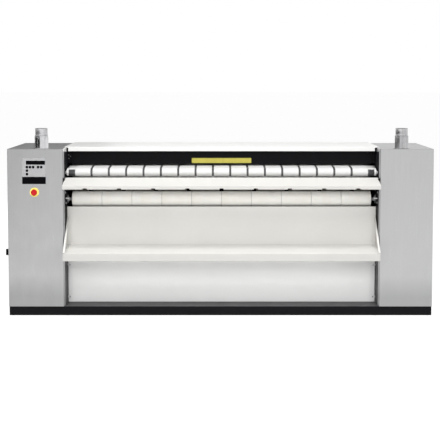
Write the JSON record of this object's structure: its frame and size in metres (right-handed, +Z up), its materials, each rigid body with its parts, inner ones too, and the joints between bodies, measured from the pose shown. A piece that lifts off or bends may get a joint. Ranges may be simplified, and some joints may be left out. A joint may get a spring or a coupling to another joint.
{
  "type": "flatwork ironer",
  "caption": "Flatwork ironer: heated cylinder, feed and ironing bands, feed table and return tray between two end cabinets with flues.",
  "frame": {"origin": "on the floor, in the middle of the machine's whole outline (cabinets, table lip, cable gland and main-switch knob)", "axes": "+X along the rollers, from the control cabinet to the drive cabinet; -Y towards the operator; +Z up"},
  "size_m": [2.823, 0.867, 1.233],
  "materials": {
    "stainless_brushed": "brushed, upright grain",
    "galvanised_steel": "mottled zinc",
    "black_paint": "satin black",
    "white_paint": "satin warm white",
    "panel_paint": "satin pale grey",
    "frame_steel": "dark primed plate",
    "polished_steel": "polished",
    "turned_steel": "turned",
    "cast_housing": "painted casting",
    "chain_steel": "oiled",
    "motor_paint": "blue-grey paint",
    "ironing_felt": "needled felt",
    "feed_cotton": "woven webbing",
    "black_plastic": "matt",
    "button_plastic": "soft touch",
    "grey_plastic": "moulded",
    "fascia_film": "printed film",
    "display_glass": "dark window",
    "estop_yellow": "moulded",
    "estop_red": "moulded",
    "foot_rubber": "moulded",
    "element_sheath": "heat-tinted",
    "screw_steel": "plated"
  },
  "bodies": {
    "root": {"base_frame": "black_paint", "bearings": "cast_housing", "cable_gland": "grey_plastic", "collector_tray": "white_paint", "control_box": "grey_plastic", "control_fascia": "fascia_film", "cross_beams": "frame_steel", "display": "display_glass", "drive_chains": "chain_steel", "estop_ring": "estop_yellow", "fan_housings": "galvanised_steel", "feed_bands": "feed_cotton", "feed_table": "white_paint", "flue_collars": "galvanised_steel", "flue_pipes": "galvanised_steel", "gearmotor": "motor_paint", "guard_brackets": "black_paint", "heating_elements": "element_sheath", "ironing_bands": "ironing_felt", "left_front_panel": "stainless_brushed", "left_outer_panel": "stainless_brushed", "left_rear_panel": "stainless_brushed", "left_side_frame": "frame_steel", "left_top_panel": "stainless_brushed", "levelling_feet": "foot_rubber", "lower_front_panel": "panel_paint", "main_switch_base": "grey_plastic", "panel_screws": "screw_steel", "rear_cover": "white_paint", "right_front_panel": "stainless_brushed", "right_outer_panel": "stainless_brushed", "right_rear_panel": "stainless_brushed", "right_side_frame": "frame_steel", "right_top_panel": "stainless_brushed", "scraper_bar": "black_paint", "side_service_cover": "stainless_brushed", "top_cover": "white_paint"},
    "cylinder": {"heated_cylinder": "polished_steel", "cylinder_sprockets": "chain_steel"},
    "feed_front": {"feed_front_roller": "turned_steel"},
    "feed_rear": {"feed_rear_roller": "turned_steel", "feed_sprocket": "chain_steel"},
    "press": {"press_roller": "turned_steel"},
    "exit": {"exit_roller": "turned_steel"},
    "return": {"return_roller": "turned_steel"},
    "tension": {"tension_roller": "turned_steel"},
    "drive": {"motor_sprocket": "chain_steel"},
    "left_fan": {"left_fan_impeller": "galvanised_steel"},
    "right_fan": {"right_fan_impeller": "galvanised_steel"},
    "guard": {"finger_guard": "black_paint"},
    "estop_push": {"estop_plunger": "black_plastic"},
    "estop_head": {"estop_button": "estop_red"},
    "main_switch": {"main_switch_knob": "black_plastic"},
    "button_1": {"control_button_1": "button_plastic"},
    "button_2": {"control_button_2": "button_plastic"},
    "button_3": {"control_button_3": "button_plastic"},
    "button_4": {"control_button_4": "button_plastic"},
    "button_5": {"control_button_5": "button_plastic"},
    "button_6": {"control_button_6": "button_plastic"},
    "button_7": {"control_button_7": "button_plastic"}
  },
  "joints": [
    {"name": "cylinder_spin", "type": "hinge", "parent": "root", "child": "cylinder", "pos_m": [0.0185, 0.1085, 0.85], "axis": [1, 0, 0], "continuous": true},
    {"name": "feed_front_spin", "type": "hinge", "parent": "root", "child": "feed_front", "pos_m": [0.0185, -0.22149, 0.94113], "axis": [1, 0, 0], "continuous": true},
    {"name": "feed_rear_spin", "type": "hinge", "parent": "root", "child": "feed_rear", "pos_m": [0.0185, -0.07149, 0.94813], "axis": [1, 0, 0], "continuous": true},
    {"name": "press_spin", "type": "hinge", "parent": "root", "child": "press", "pos_m": [0.0185, 0.03842, 1.04254], "axis": [1, 0, 0], "continuous": true},
    {"name": "exit_spin", "type": "hinge", "parent": "root", "child": "exit", "pos_m": [0.0185, -0.11773, 0.7521], "axis": [1, 0, 0], "continuous": true},
    {"name": "return_spin", "type": "hinge", "parent": "root", "child": "return", "pos_m": [0.0185, 0.26347, 0.65998], "axis": [1, 0, 0], "continuous": true},
    {"name": "tension_spin", "type": "hinge", "parent": "root", "child": "tension", "pos_m": [0.0185, 0.31845, 0.95513], "axis": [1, 0, 0], "continuous": true},
    {"name": "drive_spin", "type": "hinge", "parent": "root", "child": "drive", "pos_m": [1.1075, 0.1085, 0.137], "axis": [1, 0, 0], "continuous": true},
    {"name": "left_fan_spin", "type": "hinge", "parent": "root", "child": "left_fan", "pos_m": [-1.1675, -0.1765, 0.85], "axis": [1, 0, 0], "continuous": true},
    {"name": "right_fan_spin", "type": "hinge", "parent": "root", "child": "right_fan", "pos_m": [1.2045, -0.1765, 0.85], "axis": [1, 0, 0], "continuous": true},
    {"name": "guard_swing", "type": "hinge", "parent": "root", "child": "guard", "pos_m": [0.0185, -0.09649, 1.066], "axis": [1, 0, 0], "range_deg": [0, 8], "stiffness_Nm_per_rad": 1},
    {"name": "estop_press", "type": "slide", "parent": "root", "child": "estop_push", "axis": [0, 1, 0], "range_m": [0, 0.004]},
    {"name": "estop_release", "type": "hinge", "parent": "estop_push", "child": "estop_head", "pos_m": [-1.2075, -0.3395, 0.8165], "axis": [0, 1, 0], "range_deg": [0, 30], "stiffness_Nm_per_rad": 0.05},
    {"name": "main_switch_turn", "type": "hinge", "parent": "root", "child": "main_switch", "pos_m": [-1.3835, -0.1715, 0.4], "axis": [1, 0, 0], "range_deg": [0, 90]},
    {"name": "button_1_press", "type": "slide", "parent": "root", "child": "button_1", "axis": [0, 1, 0], "range_m": [0, 0.001], "stiffness_N_per_m": 400},
    {"name": "button_2_press", "type": "slide", "parent": "root", "child": "button_2", "axis": [0, 1, 0], "range_m": [0, 0.001], "stiffness_N_per_m": 400},
    {"name": "button_3_press", "type": "slide", "parent": "root", "child": "button_3", "axis": [0, 1, 0], "range_m": [0, 0.001], "stiffness_N_per_m": 400},
    {"name": "button_4_press", "type": "slide", "parent": "root", "child": "button_4", "axis": [0, 1, 0], "range_m": [0, 0.001], "stiffness_N_per_m": 400},
    {"name": "button_5_press", "type": "slide", "parent": "root", "child": "button_5", "axis": [0, 1, 0], "range_m": [0, 0.001], "stiffness_N_per_m": 400},
    {"name": "button_6_press", "type": "slide", "parent": "root", "child": "button_6", "axis": [0, 1, 0], "range_m": [0, 0.001], "stiffness_N_per_m": 400},
    {"name": "button_7_press", "type": "slide", "parent": "root", "child": "button_7", "axis": [0, 1, 0], "range_m": [0, 0.001], "stiffness_N_per_m": 400}
  ],
  "couplings": [
    {"joint": "feed_rear_spin", "follows": "cylinder_spin", "ratio": 5.7},
    {"joint": "feed_front_spin", "follows": "cylinder_spin", "ratio": 6.0366},
    {"joint": "press_spin", "follows": "cylinder_spin", "ratio": -4.3203},
    {"joint": "exit_spin", "follows": "cylinder_spin", "ratio": -3.4277},
    {"joint": "return_spin", "follows": "cylinder_spin", "ratio": -5.4572},
    {"joint": "tension_spin", "follows": "cylinder_spin", "ratio": -5.4572},
    {"joint": "drive_spin", "follows": "cylinder_spin", "ratio": 3.3529}
  ]
}
